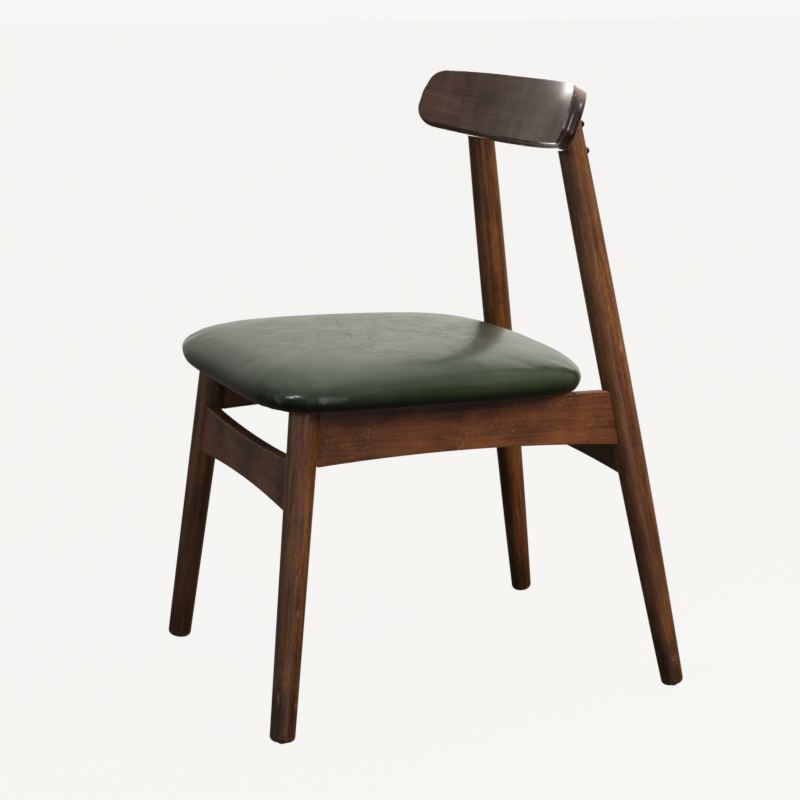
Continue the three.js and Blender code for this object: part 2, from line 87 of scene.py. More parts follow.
RAIL_THICKNESS = 20
RAIL_EASING = 1.8
SIDE_RAIL = {"x": 183.8, "z": 368.5, "depth": 73, "arch": 9.5, "roll": 5.5, "below": 1.2}
CROSS_RAIL = {"depth": 68, "arch_top": 7, "arch_bottom": 8}
CROSS_RAIL_Z = {"front": 314, "rear": 319}
RAIL_CORNER = 4  # rounding of a rail's corner where it meets a leg
SUNK = 0.3  # how deep a rail's end goes into the leg, so that no light shows

SEAT_PLANE_HEIGHT = 409.1
SEAT_PLANE_SLOPE = 0.0216
SEAT_HALF_WIDTH = 228
SEAT_TAPER = -8
SEAT_HALF_LENGTH = 231
SEAT_CENTRE_Y = -57
SEAT_SQUARENESS = (4.5, 6.5)
EDGE_HEIGHT = 24
EDGE_TUCK = 9
CROWN_HEIGHT = 62
CORNER_DROP = 0.25
DOME_FULLNESS = 3.7
DOME_SHOULDER = 2.1
CREASE_CELL = (30, 62)  # width and length of the leather between broad creases
CREASE_DEPTH = 0.45
PLEAT_DEPTH = 0.3
DUST_COVER_INSET = 30
DUST_COVER_SAG = 1.2
DUST_COVER_THICKNESS = 0.25

TRIM = 1.0  # how much smaller than its outline the cushion starts
PUFF = 1.7  # how far the cushion may swell
VOXEL = 5.0
SEAT_BOTTOM = 0.4
SECTORS = 144  # directions in which the swollen cushion is fitted to its outline
SIMULATION_FRAMES = 20
PRESSURE = 4.0

PANEL = {"y": 155.8, "z": 753.5, "half_length": 241, "thickness": 18.8, "bend": 620, "recline": 19.5}
PANEL_TOP = {"up": 48.8, "fall": 16, "power": 2.4}  # height in the middle, and its arched fall to the ends
PANEL_BOTTOM = {"up": -43.2, "fall": 1.5, "power": 2}
PANEL_TOP_CORNER = (42, 33)
PANEL_BOTTOM_CORNER = (42, 26)
PANEL_LIP = 3.6  # width of the band between the panel's face and its bulging edge
PANEL_BULGE = 5.0  # how far the edge bulges
PANEL_COLUMNS = 170
PANEL_ROWS = 34

# Screws: radius and height of the head, and radius of the shank.
BACK_SCREW = {"head": (5.0, 6.2), "shank": 2.5}
BACK_SCREWS = {"upper": (755.5, 28), "lower": (721.5, 44)}  # height on the leg, and length
BACK_SCREW_SUNK = 1.0
BRACKET_SCREW = {"head": (3.8, 2.2), "shank": 1.9}
BRACKET_SCREW_LENGTH = 12
BRACKET = {"width": 22, "upright": 26, "foot": 26, "thickness": 2, "bend": 3, "corner": 6, "hole_at": 0.6}
BRACKET_EASING = 0.3
BRACKET_Y = {"front": -170, "rear": 100}
CLEARANCE = 0.3

SIDES = {"left": 1, "right": -1}
SEAT_PITCH = math.atan(SEAT_PLANE_SLOPE)


# ---- Nodes ----


class Nodes:
    """A material's or world's node tree, with short ways to add and join nodes."""

    def __init__(self, owner):
        owner.use_nodes = True
        self.owner = owner
        self.tree = owner.node_tree
        self.tree.nodes.clear()

    def node(self, kind, inputs=(), **settings):
        node = self.tree.nodes.new("ShaderNode" + kind)
        for key, value in settings.items():
            setattr(node, key, value)
        for key, value in dict(inputs).items():
            if isinstance(value, bpy.types.NodeSocket):
                self.tree.links.new(value, node.inputs[key])
            else:
                node.inputs[key].default_value = value
        return node

    def add(self, kind, inputs=(), output=0, **settings):
        """Adds a node and returns one of its outputs."""
        return self.node(kind, inputs, **settings).outputs[output]

    def attribute(self, name, output="Fac"):
        return self.add("Attribute", output=output, attribute_name=name)

    def noise(self, vector, scale, detail=2.0, roughness=0.5, distortion=0.0):
        """Noise with one scale, or with one along each axis."""
        if isinstance(scale, tuple):
            vector, scale = self.scaled(vector, scale), 1.0
        inputs = {"Vector": vector, "Scale": scale, "Detail": detail, "Roughness": roughness}
        return self.add("TexNoise", {**inputs, "Distortion": distortion})

    def scaled(self, vector, scale):
        return self.add("VectorMath", {0: vector, 1: scale}, operation="MULTIPLY")

    def math(self, operation, a, b=0.0, clamp=False):
        return self.add("Math", {0: a, 1: b}, operation=operation, use_clamp=clamp)

    def plus(self, a, b, clamp=False):
        return self.math("ADD", a, b, clamp)

    def minus(self, a, b, clamp=False):
        return self.math("SUBTRACT", a, b, clamp)

    def times(self, a, b, clamp=False):
        return self.math("MULTIPLY", a, b, clamp)

    def remap(self, value, low, high, to_low=0.0, to_high=1.0):
        inputs = {"Value": value, "From Min": low, "From Max": high, "To Min": to_low, "To Max": to_high}
        return self.add("MapRange", inputs)

    def mix(self, factor, a, b, blend_type="MIX"):
        return self.add("Mix", {0: factor, 6: a, 7: b}, output=2, data_type="RGBA", blend_type=blend_type)

    def ramp(self, factor, stops):
        node = self.node("ValToRGB", {"Fac": factor})
        elements = node.color_ramp.elements
        for place, colour in stops[1:-1]:
            elements.new(place).color = colour
        elements[0].position, elements[0].color = stops[0]
        elements[-1].position, elements[-1].color = stops[-1]
        return node.outputs["Color"]

    def bump(self, height, distance, strength, normal=None):
        inputs = {"Height": height, "Distance": distance, "Strength": strength}
        if normal is not None:
            inputs["Normal"] = normal
        return self.add("Bump", inputs)

    def show(self, shader, output="OutputMaterial"):
        """Ends the tree with a shader, and returns the material or world."""
        self.node(output, {"Surface": shader})
        return self.owner

    def surface(self, colour, roughness, normal, others=()):
        inputs = {"Base Color": colour, "Roughness": roughness, "Normal": normal, **dict(others)}
        return self.show(self.add("BsdfPrincipled", inputs))


def rgb(red, green, blue):
    return (red, green, blue, 1.0)


def grey(level):
    return rgb(level, level, level)


# ---- Materials ----


def stained_walnut(name, dark, middle, light, figure=0.0, flecks=0.0, mottle=0.09, coat=0.35, roughness=0.42,
                   coat_roughness=0.22):
    """Walnut-stained wood under satin lacquer.

    The mesh carries `grain`, its place in the plank with the first number along the grain, in metres, and
    `wear`, from 0 to 1, where the stain is rubbed away. A third number darkens the colour as painted shade.
    """
    n = Nodes(bpy.data.materials.new(name))
    grain = n.attribute("grain", "Vector")
    bands = n.noise(grain, (2.5, 85, 85), detail=5, roughness=0.6, distortion=0.5)
    streaks = n.noise(grain, (14, 230, 230), detail=5, roughness=0.75)
    fibres = n.noise(grain, (14, 620, 620), detail=3, roughness=0.65)
    speckle = n.noise(grain, (230, 420, 420), roughness=0.6)
    curl = n.noise(grain, (34, 5, 5), detail=3, roughness=0.55)
    tone = n.plus(n.plus(n.times(bands, 0.38), n.times(streaks, 0.47)), n.times(fibres, 0.15))
    for pattern, amount in ((speckle, 0.05), (n.noise(grain, 16), mottle), (curl, figure)):
        tone = n.plus(tone, n.remap(pattern, 0.3, 0.7, -amount, amount), clamp=True)
    colour = n.ramp(tone, [(0.38, dark), (0.51, middle), (0.66, light)])
    # Painted shade: the colour is darkened where the legs and the panel's ends are meant to be in shade.
    soaked = n.mix(1.0, colour, rgb(0.26, 0.25, 0.28), "MULTIPLY")
    colour = n.mix(n.times(n.attribute("soak"), 0.8), colour, soaked)

    pores = n.remap(n.noise(grain, (110, 2100, 2100), detail=1), 0.62, 0.7)
    colour = n.mix(n.times(pores, 0.55), colour, rgb(0.006, 0.003, 0.002))
    specks = n.remap(n.noise(grain, (420, 640, 640), roughness=0.7), 0.63, 0.72)
    specks = n.times(specks, n.remap(n.noise(grain, 26, detail=1), 0.42, 0.62))
    colour = n.mix(n.times(specks, flecks), colour, rgb(0.40, 0.22, 0.13))
    rubbed = n.times(n.attribute("wear"), n.remap(n.noise(grain, 320, detail=3), 0.35, 0.6))
    colour = n.mix(rubbed, colour, rgb(0.30, 0.13, 0.07))

    relief = n.minus(n.times(fibres, 0.5), n.times(pores, 0.8))
    ripple = n.noise(grain, (9, 42, 42))
    normal = n.bump(ripple, 0.0011, 0.35, n.bump(relief, 0.00009, 0.5))
    smears = n.noise(grain, 22, detail=3, roughness=0.6)
    rough = n.remap(smears, 0.3, 0.7, roughness - 0.07, roughness + 0.09)
    rough = n.plus(rough, n.times(rubbed, 0.2))
    return n.surface(colour, rough, normal, {"Coat Weight": coat, "Coat Roughness": coat_roughness})


def green_leather():
    """Dark green glazed leather, creased where people sit."""
    n = Nodes(bpy.data.materials.new("green_leather_glazed"))
    place = n.add("TexCoord", output="Object")
    wobble = n.add("TexNoise", {"Vector": place, "Scale": 22.0, "Detail": 3.0}, "Color")
    shift = n.add("VectorMath", {0: wobble, 1: (0.5, 0.5, 0.5)}, operation="SUBTRACT")
    warped = n.add("VectorMath", {0: n.scaled(shift, (0.045, 0.045, 0.0)), 1: place})

    def cracks(scale, width, stretch, patches, rarity):
        """The lines between cells, in those patches of the leather where noise is above `rarity`."""
        inputs = {"Vector": n.scaled(warped, stretch), "Scale": scale}
        gap = n.add("TexVoronoi", inputs, feature="DISTANCE_TO_EDGE")
        shown = n.remap(n.noise(place, patches), rarity, rarity + 0.2)
        return n.times(n.remap(gap, 0.0, width, 1.0, 0.0), shown)

    used = n.attribute("wear")
    coarse = cracks(40, 0.05, (1.0, 0.5, 0.2), 16, 0.40)
    fine = cracks(92, 0.09, (1.0, 0.5, 0.3), 27, 0.42)
    creases = n.times(n.plus(coarse, n.times(fine, 0.7)), used)

    colour = n.ramp(n.noise(place, 12, detail=4, roughness=0.6), [
        (0.30, rgb(0.010, 0.019, 0.010)),
        (0.52, rgb(0.014, 0.026, 0.013)),
        (0.75, rgb(0.021, 0.037, 0.018)),
    ])
    # Painted shade: the colour is darkened along the creases.
    colour = n.mix(n.times(creases, 0.75, clamp=True), colour, rgb(0.010, 0.009, 0.004))
    # Painted shade: the leather is darkened low on the rolled edge, where it turns under.
    colour = n.mix(n.attribute("painted_underside_shade"), colour, rgb(0.002, 0.003, 0.002))
    bare = n.times(n.attribute("rim"), n.remap(n.noise(place, 90), 0.3, 0.5))
    colour = n.mix(bare, colour, rgb(0.24, 0.15, 0.08))

    pebbles = n.add("TexVoronoi", {"Vector": place, "Scale": 760.0}, feature="SMOOTH_F1")
    ripples = n.noise(n.scaled(warped, (1.0, 0.45, 1.0)), 95, detail=3, roughness=0.6)
    wrinkles = n.noise(n.scaled(warped, (1.0, 0.16, 1.0)), 170, detail=3, roughness=0.6)
    normal = n.bump(pebbles, 0.00012, 0.3)
    normal = n.bump(ripples, 0.0009, n.remap(used, 0.0, 1.0, 0.10, 0.5), normal)
    normal = n.bump(wrinkles, 0.0015, n.times(used, 0.8), normal)
    normal = n.bump(n.minus(1.0, creases), 0.0005, 0.6, normal)
    rough = n.remap(n.noise(place, 30, detail=4, roughness=0.65), 0.3, 0.7, 0.26, 0.36)
    rough = n.plus(rough, n.times(creases, 0.2))
    return n.surface(colour, rough, normal, {"Coat Weight": 0.35, "Coat Roughness": 0.2})


def metal(name, base, worn, roughness):
    """Plated steel with fine turning marks, dulled in patches."""
    n = Nodes(bpy.data.materials.new(name))
    place = n.add("TexCoord", output="Object")
    patches = n.noise(place, 240, detail=4, roughness=0.6)
    marks = n.noise(place, (900, 900, 4200), detail=1)
    colour = n.mix(n.remap(patches, 0.4, 0.7), base, worn)
    rough = n.remap(patches, 0.3, 0.7, roughness - 0.08, roughness + 0.14)
    return n.surface(colour, rough, n.bump(marks, 0.00003, 0.5), {"Metallic": 1.0})


def black_cloth():
    """Thin non-woven cloth with a pattern of small pressed spots."""
    n = Nodes(bpy.data.materials.new("black_nonwoven_cloth"))
    place = n.add("TexCoord", output="Object")
    spots = n.add("TexVoronoi", {"Vector": place, "Scale": 420.0, "Randomness": 0.15})
    pressed = n.remap(spots, 0.15, 0.35)
    lint = n.noise(place, 900, detail=3, roughness=0.7)
    colour = n.mix(lint, rgb(0.006, 0.006, 0.007), rgb(0.030, 0.030, 0.032))
    colour = n.mix(n.minus(1.0, pressed), colour, rgb(0.012, 0.012, 0.013))
    height = n.plus(pressed, n.times(lint, 0.6))
    return n.surface(colour, 0.9, n.bump(height, 0.0002, 0.8), {"Sheen Weight": 0.25})


def bare_wood(name, light, dark, stretch):
    """Unfinished wood inside the joints and under the seat."""
    n = Nodes(bpy.data.materials.new(name))
    fibres = n.noise(n.add("TexCoord", output="Object"), stretch, detail=4, roughness=0.6)
    colour = n.mix(n.remap(fibres, 0.3, 0.7), light, dark)
    return n.surface(colour, 0.75, n.bump(fibres, 0.0001, 0.5))


# ---- Meshes ----


def add_shades(mesh, shades):
    """Stores numbers at a mesh's points, under the names that its material reads."""
    for name, values in shades.items():
        attribute = mesh.attributes.new(name, "FLOAT", "POINT")
        attribute.data.foreach_set("value", values.astype(np.float32))


def new_piece(name, points, faces, material, matrix=Matrix.Identity(4), grain=None, **shades):
    """A smooth mesh from points in millimetres in its own frame, which `matrix` places in the chair's."""
    mesh = bpy.data.meshes.new(name)
    mesh.from_pydata((moved(points, in_millimetres(matrix)) * MM).tolist(), [], faces)
    if grain is not None:
        attribute = mesh.attributes.new("grain", "FLOAT_VECTOR", "POINT")
        attribute.data.foreach_set("vector", (grain * MM).astype(np.float32).ravel())
    add_shades(mesh, shades)
    body = bmesh.new()
    body.from_mesh(mesh)
    bmesh.ops.remove_doubles(body, verts=body.verts, dist=1e-6)
    bmesh.ops.recalc_face_normals(body, faces=body.faces)
    body.to_mesh(mesh)
    body.free()
    mesh.shade_smooth()
    mesh.materials.append(material)
    piece = bpy.data.objects.new(name, mesh)
    bpy.context.scene.collection.objects.link(piece)
    return piece


def place_in_chair(piece, slot, *nodes):
    """The piece rides on the chair and stands for CAD nodes, which it hides. Its slot is not used."""
    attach(piece, "root")
    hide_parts(*nodes)
    return piece


def add_detail(node, slot, *shape, **shades):
    """Adds the detailed piece that stands for one CAD node."""
    return place_in_chair(new_piece(node + "_detail", *shape, **shades), slot, node)


def band(count, sides):
    """The faces between `count` closed rings of `sides` points each."""
    faces = []
    for a in range(0, (count - 1) * sides, sides):
        for i in range(sides):
            j = (i + 1) % sides
            faces.append((a + i, a + j, a + sides + j, a + sides + i))
    return faces


def skin(rings):
    """Points and faces of a closed body round a stack of rings of equal length, with a fan at each end."""
    count, sides = rings.shape[:2]
    points = np.vstack([rings.reshape(-1, 3), rings[0].mean(0), rings[-1].mean(0)])
    faces = band(count, sides)
    end = count * sides
    for i in range(sides):
        j = (i + 1) % sides
        faces.append((end, j, i))
        faces.append((end + 1, end - sides + i, end - sides + j))
    return points, faces


def circle(sides):
    """Points of a circle of radius 1."""
    angles = np.linspace(0, 2 * math.pi, sides, endpoint=False)
    return np.column_stack([np.cos(angles), np.sin(angles)])


def turned(profile, sides):
    """Rings from a profile of (radius, height)."""
    return np.array([
        np.column_stack([circle(sides) * radius, np.full(sides, height)]) for radius, height in profile
    ])


def lengths_along(line):
    """How far along a line each of its points is."""
    return np.concatenate([[0], np.cumsum(np.linalg.norm(np.diff(line, axis=0), axis=1))])


def spread(line, count):
    """`count` points at equal distances along an open line, without its last one."""
    along = lengths_along(line)
    places = np.linspace(0, along[-1], count, endpoint=False)
    return np.column_stack([np.interp(places, along, line[:, k]) for k in range(2)])


def noise_at(points, scale, seed):
    """Smooth noise from -1 to 1 at each point, whose features are about `scale` across."""
    shift = Vector((seed, seed * 1.7, seed * 2.3))
    return np.array([noise.noise(Vector(p) / scale + shift) for p in points])


def smooth_step(value, start, end):
    """Rises smoothly from 0 where the value is `start` to 1 where it is `end`, which may be the lower one."""
    t = np.clip((value - start) / (end - start), 0, 1)
    return t * t * (3 - 2 * t)


def in_millimetres(matrix):
    """The same placing, for points in millimetres."""
    scaled = np.array(matrix)
    scaled[:3, 3] /= MM
    return scaled


def moved(points, matrix):
    return points @ matrix[:3, :3].T + matrix[:3, 3]


def reach_to_round(starts, step, radius):
    """How far along lines, from `starts` by `step`, the surface of a round body about the Z axis is."""
    x, y = starts[:, 0], starts[:, 1]
    a = step[0] ** 2 + step[1] ** 2
    b = x * step[0] + y * step[1]
    c = x**2 + y**2 - radius**2
    return (-b - np.sqrt(np.maximum(b * b - a * c, 0))) / a


def tilted(place, angle):
    """The matrix of a frame at a place in millimetres, turned about the X axis."""
    return Matrix.Translation(Vector(place) * MM) @ Matrix.Rotation(angle, 4, "X")


SEAT_FRAME = tilted((0, 0, SEAT_PLANE_HEIGHT), -SEAT_PITCH)
PANEL_FRAME = tilted((0, PANEL["y"], PANEL["z"]), -math.radians(PANEL["recline"]))


# ---- Legs ----


class Leg:
    """One round leg: its frame has the Z axis along the leg and its origin on the floor."""

    def __init__(self, size, side):
        self.size = size
        self.side = side
        self.axis = Vector((side * size["lean"][0], size["lean"][1], 1)).normalized()
        across = Vector((1, 0, 0))
        x_axis = (across - across.dot(self.axis) * self.axis).normalized()
        self.matrix = Matrix((x_axis, self.axis.cross(x_axis), self.axis)).transposed().to_4x4()
        self.matrix.translation = self.point(0) * MM
        self.to_world = in_millimetres(self.matrix)
        self.to_leg = np.linalg.inv(self.to_world)
        along, radii = zip(*size["radii"])
        self.taper = np.polyfit(along, radii, 2)
        self.start = FOOT_HEIGHT / self.axis.z
        self.end = size["top"] / self.axis.z

    def point(self, z):
        """The axis at one height."""
        lean, foot = self.size["lean"], self.size["foot"]
        return Vector((self.side * (foot[0] + lean[0] * z), foot[1] + lean[1] * z, z))

    def radius(self, along):
        """The radius with the roundings at the foot and the top."""
        radius = np.polyval(self.taper, along)
        top_rounding = self.size["top_rounding"]
        for rounding, depth in (
            (FOOT_ROUNDING, self.start + FOOT_ROUNDING - along),
            (top_rounding, along - self.end + top_rounding),
        ):
            depth = np.clip(depth, 0, rounding)
            radius = radius - rounding + np.sqrt(rounding**2 - depth**2)
        return radius

    def floor_points(self, offsets):
        """Where lines along the leg, at `offsets` from its axis, start in the chair's frame."""
        return moved(np.column_stack([offsets, np.zeros(len(offsets))]), self.to_world)

    def where_lines_enter(self, starts, step):
        """How far along lines from `starts` by `step`, in the chair's frame, the leg's surface is."""
        starts = moved(starts, self.to_leg)
        step = self.to_leg[:3, :3] @ step
        reach = np.zeros(len(starts))
        for _ in range(4):
            radius = np.polyval(self.taper, starts[:, 2] + step[2] * reach) - SUNK
            reach = reach_to_round(starts, step, radius)
        return reach


def seat_plane_cut(leg, offsets):
    """Where lines along a leg, at `offsets` from its axis, meet the underside of the seat."""
    starts = leg.floor_points(offsets)
    rise = SEAT_PLANE_HEIGHT - CLEARANCE - starts[:, 2] - SEAT_PLANE_SLOPE * starts[:, 1]
    return rise / (leg.axis.z + SEAT_PLANE_SLOPE * leg.axis.y)


def back_panel_cut(leg, offsets):
    """Where lines along a rear leg meet the back of the panel or the level of its lower edge."""
    to_panel = np.linalg.inv(in_millimetres(PANEL_FRAME))
    starts = moved(leg.floor_points(offsets), to_panel) + (0, PANEL["bend"], 0)
    step = to_panel[:3, :3] @ np.array(leg.axis)
    radius = PANEL["bend"] + PANEL["thickness"] / 2 + CLEARANCE
    bottom = arched_edge(PANEL["bend"] * np.arcsin(starts[:, 0] / radius), PANEL_BOTTOM)
    level = (bottom - CLEARANCE - starts[:, 2]) / step[2]
    return np.maximum(reach_to_round(starts, step, radius), level)


def leg_rings(leg, cut):
    """Rings of the foot's underside, the shaft and the cut top."""
    round_leg = circle(LEG_SIDES)

    def ring(radius, along):
        each = np.ones(LEG_SIDES)
        return np.column_stack([round_leg * (radius * each)[:, None], along * each])

    foot_radius = np.polyval(leg.taper, leg.start) - FOOT_ROUNDING
    rings = [ring(foot_radius * share, leg.start) for share in (0.25, 0.5, 0.75, 1.0)]
    for turn in np.radians(range(12, 91, 13)):
        along = leg.start + FOOT_ROUNDING * (1 - math.cos(turn))
        rings.append(ring(leg.radius(along), along))
    bottom = leg.start + FOOT_ROUNDING
    full = np.polyval(leg.taper, leg.end)
    top = np.minimum(cut(leg, round_leg * full), leg.end) - ARRIS
    steps = round((leg.end - bottom) / LEG_STEP)
    for i in range(1, steps + 1):
        along = bottom + (top - bottom) * i / steps
        rings.append(ring(leg.radius(along), along))
    edge = leg.radius(top)
    for turn in np.radians((30, 60, 90)):
        rings.append(ring(edge - ARRIS * (1 - math.cos(turn)), top + ARRIS * math.sin(turn)))
    for share in np.linspace(0.92, 0.08, 12):
        radius = (edge - ARRIS) * share
        face = np.minimum(cut(leg, round_leg * radius[:, None]), leg.end)
        rings.append(ring(radius, face))
    return np.array(rings)


def leg_wear(leg, points, seed):
    """Rubbed stain round the foot, with a few knocks higher up."""
    near_foot = smooth_step(points[:, 2], leg.start + 9, leg.start + 1)
    knocks = smooth_step(noise_at(points * (1, 1, 0.45), 9, seed), 0.52, 0.7)
    low = smooth_step(points[:, 2], 260, 60)
    return np.clip(0.45 * near_foot + knocks * (0.12 + 0.3 * low), 0, 1)


def knocked_off(leg, points, knocks):
    """How much stain is missing at each point of a leg because of its knocks."""
    missing = np.zeros(len(points))
    for height, degrees, size, strength in knocks:
        along = height / leg.axis.z
        turn = math.radians(degrees)
        radius = float(leg.radius(along))
        spot = (radius * math.cos(turn), radius * math.sin(turn), along)
        distance = np.linalg.norm((points - spot) / (1, 1, 1.6), axis=1)
        missing += strength * np.exp(-((distance / size) ** 2))
    return missing


def make_leg(name, size, side, cut, material, seed):
    leg = Leg(size, side)
    points, faces = skin(leg_rings(leg, cut))
    grain = points[:, [2, 0, 1]] + (700 * seed, 90 * seed, 50 * seed)
    wear = leg_wear(leg, points, seed) + knocked_off(leg, points, KNOCKS.get(name, ()))
    # Painted shade: darker towards the floor, and near the top of the rear legs under the back panel.
    soak = sum(strength * smooth_step(points[:, 2], none, full) for none, full, strength in LEG_PAINTED_SHADE)
    add_detail(name, "stained_wood", points, faces, material, leg.matrix, grain, wear=wear, soak=soak)
    return leg


def make_glide(name, leg, material):
    """A level steel pad with a rolled edge and the nail that holds it."""
    spot = leg.point(FOOT_HEIGHT)
    spot.z = 0
    flat = GLIDE_RADIUS - GLIDE_EASING
    nail, length = GLIDE_NAIL
    profile = [(1.2, 0.3), (2.0, 0.3), (2.4, 0.0), (flat, 0.0)]
    for turn in np.radians((25, 50, 75, 90)):
        profile.append((flat + GLIDE_EASING * math.sin(turn), GLIDE_EASING * (1 - math.cos(turn))))
    profile += [(GLIDE_RADIUS, GLIDE_HEIGHT), (nail, GLIDE_HEIGHT + 0.2)]
    profile += [(nail, GLIDE_HEIGHT + length), (0.2, GLIDE_HEIGHT + length + 2)]
    add_detail(name, "zinc_steel", *skin(turned(profile, 48)), material, Matrix.Translation(spot * MM))


# ---- Rails ----


def board_outline(thickness, easing):
    """A board's section: for each point, its place on the inner rectangle and its rounding offset."""
    corners = np.array([(1, 1), (-1, 1), (-1, -1), (1, -1)])
    outline = []
    for number, corner in enumerate(corners):
        ahead = corners[(number + 1) % 4] - corner
        runs = (14, 4)[number % 2]
        steps = [(0, 22.5 * step) for step in range(5)] + [(i / runs, 90) for i in range(1, runs)]
        for share, degrees in steps:
            turn = math.radians(90 * number + degrees)
            outline.append((*(corner + ahead * share), math.cos(turn), math.sin(turn)))
    up, out, lift, push = np.array(outline).T
    return up, lift * easing, out * (thickness / 2 - easing) + push * easing


def make_rail(name, matrix, length, depth, arch_top, arch_bottom, ends, material, seed, corners=()):
    """A board along its own X axis between two legs, shaped at both ends to fit them.

    `ends` are the legs at the low and high end of X. `corners` names rounded corners as (end, edge), each
    -1 or 1.
    """
    place = in_millimetres(matrix)
    core, lift, out = board_outline(RAIL_THICKNESS, RAIL_EASING)
    half = length / 2

    def section(x, from_low, from_high, inner):
        """The outline's points, each at its own x, on the outline shrunk by `inner`."""
        bend = 1 - (x / half) ** 2
        edges = {-1: -depth / 2 + arch_bottom * bend, 1: depth / 2 - arch_top * bend}
        for end, edge in corners:
            near = np.clip(RAIL_CORNER - (from_low if end < 0 else from_high), 0, RAIL_CORNER)
            edges[edge] = edges[edge] - edge * (RAIL_CORNER - np.sqrt(RAIL_CORNER**2 - near**2))
        middle, reach = (edges[1] + edges[-1]) / 2, (edges[1] - edges[-1]) / 2
        return np.column_stack([x, middle + inner * (core * (reach - RAIL_EASING) + lift), out * inner])

    def board_points(share, inner):
        """Points at one share of the way between the legs, on the outline shrunk by `inner`."""
        reached = {-1: np.full(len(core), -half), 1: np.full(len(core), half)}
        for _ in range(3):
            for leg, end in zip(ends, (-1, 1)):
                starts = moved(section(reached[end], half, half, inner) * (0, 1, 1), place)
                reached[end] = end * leg.where_lines_enter(starts, end * place[:3, 0])
        x = reached[-1] + (reached[1] - reached[-1]) * share
        return section(x, x - reached[-1], reached[1] - x, inner)

    close = np.array([0, 0.0008, 0.0018, 0.003, 0.0045, 0.0065, 0.009, 0.012, 0.017, 0.024])
    shares = np.concatenate([close, np.linspace(0.035, 0.965, 70), 1 - close[::-1]])
    shrunk = (0.06, 0.3, 0.55, 0.8)
    rings = [board_points(0, inner) for inner in shrunk]
    rings += [board_points(share, 1) for share in shares]
    rings += [board_points(1, inner) for inner in shrunk[::-1]]
    points, faces = skin(np.array(rings))
    edge_wear = np.where(np.abs(lift) > 0.1 * RAIL_EASING, 0.1, 0)
    arris = (np.abs(lift) > 0.3 * RAIL_EASING) & (np.abs(out) > RAIL_THICKNESS / 2 - RAIL_EASING - 0.3)
    edge_wear[arris] = 0.55
    wear = np.append(np.tile(edge_wear, len(rings)), (0, 0))
    grain = points + (310 * seed, 130 * seed, 70 * seed)
    add_detail(name, "stained_wood", points, faces, material, matrix, grain, wear=wear)


def make_side_rail(name, side, legs, material, seed):
    start, end = (leg.point(SIDE_RAIL["z"]).y for leg in legs)
    middle = (start + end) / 2
    drop = SIDE_RAIL["depth"] / 2 + SIDE_RAIL["below"]
    height = SEAT_PLANE_HEIGHT - SEAT_PLANE_SLOPE * middle - drop
    matrix = (
        tilted((side * SIDE_RAIL["x"], middle, height), -SEAT_PITCH)
        @ Matrix.Rotation(-side * math.radians(SIDE_RAIL["roll"]), 4, "Y")
        @ Matrix(((0, 0, 1, 0), (1, 0, 0, 0), (0, 1, 0, 0), (0, 0, 0, 1)))
    )
    make_rail(name, matrix, end - start, SIDE_RAIL["depth"], 0, SIDE_RAIL["arch"], legs, material, seed,
              corners=((-1, -1), (1, 1)))


def make_cross_rail(name, z, left, right, material, seed):
    middle = left.point(z)
    matrix = tilted((0, middle.y, z), math.pi / 2 - math.atan(left.size["lean"][1]))
    make_rail(name, matrix, 2 * middle.x, CROSS_RAIL["depth"], CROSS_RAIL["arch_top"],
              CROSS_RAIL["arch_bottom"], (right, left), material, seed)


# ---- Back panel ----


def arched_edge(along, edge):
    """The height of an arched edge at one distance from the middle, before its corners are rounded."""
    return edge["up"] - edge["fall"] * np.abs(along / PANEL["half_length"]) ** edge["power"]


def corner_arc(edge, corner, way, degrees):
    """Points of the right-hand corner of an edge, from the end at 0 degrees to the edge at 90."""
    across, down = corner
    turn = np.radians(degrees)
    along = PANEL["half_length"] - across * (1 - np.cos(turn))
    return np.column_stack([along, arched_edge(along, edge) - way * down * (1 - np.sin(turn))])


def half_edge(edge, corner, way):
    """The right-hand half of an edge to halfway round its corner, and the rest of the corner to the end."""
    middle = np.linspace(0, PANEL["half_length"] - corner[0], 40)
    straight = np.column_stack([middle, arched_edge(middle, edge)])
    first = corner_arc(edge, corner, way, np.linspace(90, 45, 20))
    return np.vstack([straight, first]), corner_arc(edge, corner, way, np.linspace(45, 0, 20))


def panel_outline():
    """The board's outline before it is bent: (along, up) points, counter-clockwise from the top right.

    It has PANEL_COLUMNS steps along the top and the bottom, and PANEL_ROWS at each end.
    """
    mirror = (-1, 1)
    top, top_end = half_edge(PANEL_TOP, PANEL_TOP_CORNER, 1)
    bottom, bottom_end = half_edge(PANEL_BOTTOM, PANEL_BOTTOM_CORNER, -1)
    right = np.vstack([bottom_end, top_end[::-1]])
    return np.vstack([
        spread(np.vstack([top[::-1], top * mirror]), PANEL_COLUMNS),
        spread(right[::-1] * mirror, PANEL_ROWS),
        spread(np.vstack([bottom[::-1] * mirror, bottom]), PANEL_COLUMNS),
        spread(right, PANEL_ROWS),
    ])


def filled(loop):
    """A grid of points inside a closed loop of four sides, whose edge points are the loop's own."""
    closed = np.vstack([loop, loop[:1]])
    top = closed[:PANEL_COLUMNS + 1]
    left = closed[PANEL_COLUMNS:PANEL_COLUMNS + PANEL_ROWS + 1]
    bottom = closed[PANEL_COLUMNS + PANEL_ROWS:2 * PANEL_COLUMNS + PANEL_ROWS + 1][::-1]
    right = closed[2 * PANEL_COLUMNS + PANEL_ROWS:][::-1]
    u = np.linspace(0, 1, PANEL_COLUMNS + 1)[None, :, None]
    v = np.linspace(0, 1, PANEL_ROWS + 1)[:, None, None]
    sides = (1 - v) * top[None] + v * bottom[None] + (1 - u) * right[:, None] + u * left[:, None]
    corners = (1 - v) * ((1 - u) * top[0] + u * top[-1]) + v * ((1 - u) * bottom[0] + u * bottom[-1])
    return sides - corners


